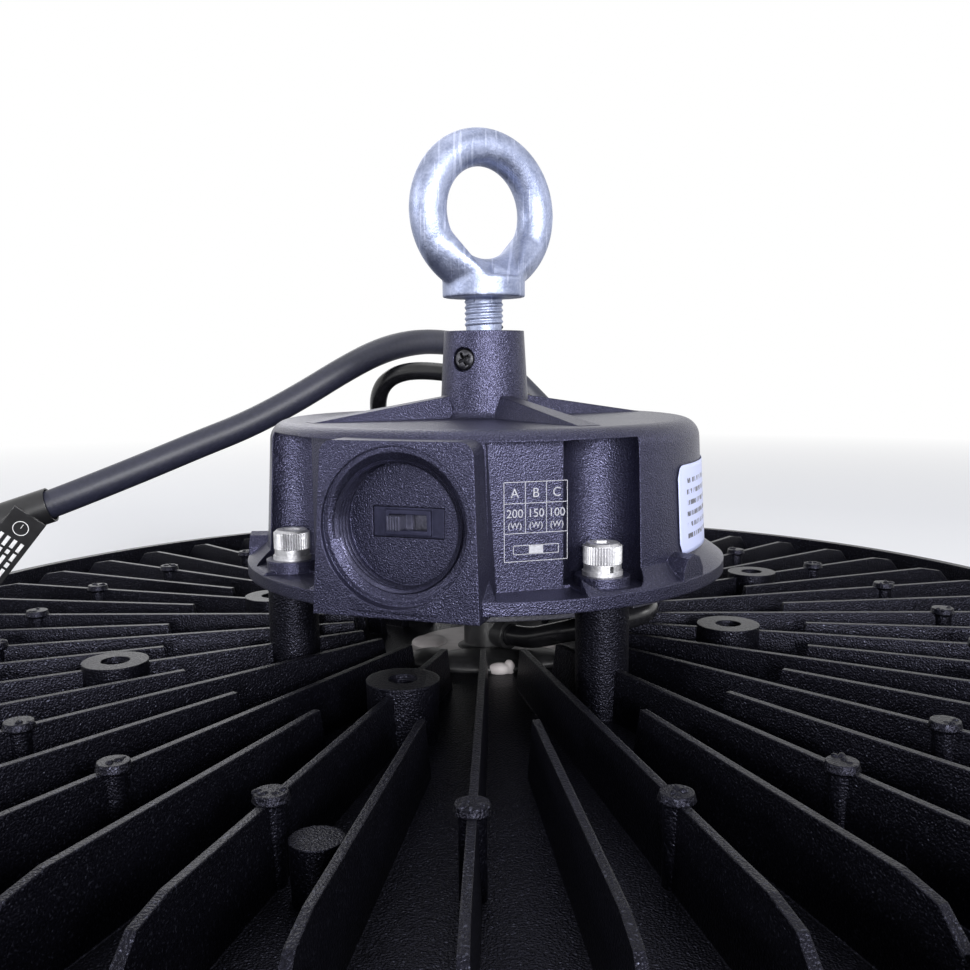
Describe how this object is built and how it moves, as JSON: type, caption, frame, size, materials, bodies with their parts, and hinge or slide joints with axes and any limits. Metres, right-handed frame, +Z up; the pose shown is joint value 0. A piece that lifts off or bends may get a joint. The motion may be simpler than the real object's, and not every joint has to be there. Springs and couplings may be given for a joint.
{
  "type": "high bay light",
  "caption": "Round industrial high bay light: finned heat sink with lens plate below, drum driver housing above, lifting eye, sensor port with a hidden slide switch, and a mains lead.",
  "frame": {"origin": "middle of the lamp's round underside, on the plane of the bezel ring's face", "axes": "+Z up along the lamp's axis towards the lifting eye, +X to the right and -Y to the side that the sensor port faces"},
  "size_m": [0.5476, 0.36, 0.1651],
  "materials": {
    "heat_sink_coat": "satin powder coat",
    "housing_coat": "textured satin powder coat",
    "cover_coat": "satin",
    "seal_silicone": "matt silicone",
    "screw_zinc": "zinc plated",
    "eye_zinc": "zinc plated, dull",
    "cap_screw_steel": "satin steel, knurled",
    "black_plastic": "matt",
    "contact_metal": "bright",
    "slider_plastic": "satin",
    "board_green": "solder mask",
    "transformer_tape": "tape",
    "capacitor_sleeve": "sleeve",
    "ferrite": "ferrite",
    "film_box": "moulded",
    "bare_aluminium": "mill",
    "terminal_green": "moulded",
    "gland_nylon": "satin nylon",
    "entry_rubber": "matt",
    "led_board_white": "white solder mask on aluminium",
    "led_phosphor": "phosphor",
    "lens_clear": "clear polycarbonate",
    "mains_sheath": "matt",
    "core_insulation": "PVC",
    "output_sheath": "glossy",
    "label_film": "printed film"
  },
  "bodies": {
    "lamp": {"bezel_ring": "housing_coat", "bezel_screws": "screw_zinc", "bottom_cover": "cover_coat", "centre_seal": "seal_silicone", "choke": "ferrite", "cord_label": "label_film", "cover_gasket": "seal_silicone", "cover_screws": "screw_zinc", "driver_board": "board_green", "driver_housing": "housing_coat", "electrolytic_capacitors": "capacitor_sleeve", "film_capacitor": "film_box", "flat_washers": "cap_screw_steel", "heat_sink": "heat_sink_coat", "heat_spreader": "bare_aluminium", "housing_screws": "cap_screw_steel", "lead_entry": "entry_rubber", "led_board": "led_board_white", "leds": "led_phosphor", "lens_plate": "lens_clear", "lens_seal": "seal_silicone", "lifting_eye": "eye_zinc", "mains_cores": "core_insulation", "mains_gland": "gland_nylon", "mains_gland_nut": "gland_nylon", "mains_lead": "mains_sheath", "output_gland": "gland_nylon", "output_gland_nut": "gland_nylon", "output_lead": "output_sheath", "spring_washers": "cap_screw_steel", "switch_body": "black_plastic", "switch_contacts": "contact_metal", "switch_terminals": "contact_metal", "terminal_block": "terminal_green", "tower_set_screw": "screw_zinc", "transformer": "transformer_tape", "transistors": "black_plastic"},
    "switch_slider": {"switch_slider": "slider_plastic"}
  },
  "joints": [
    {"name": "power_select", "type": "slide", "parent": "lamp", "child": "switch_slider", "axis": [0.9537, -0.3007, 0], "range_m": [0, 0.0056]}
  ]
}
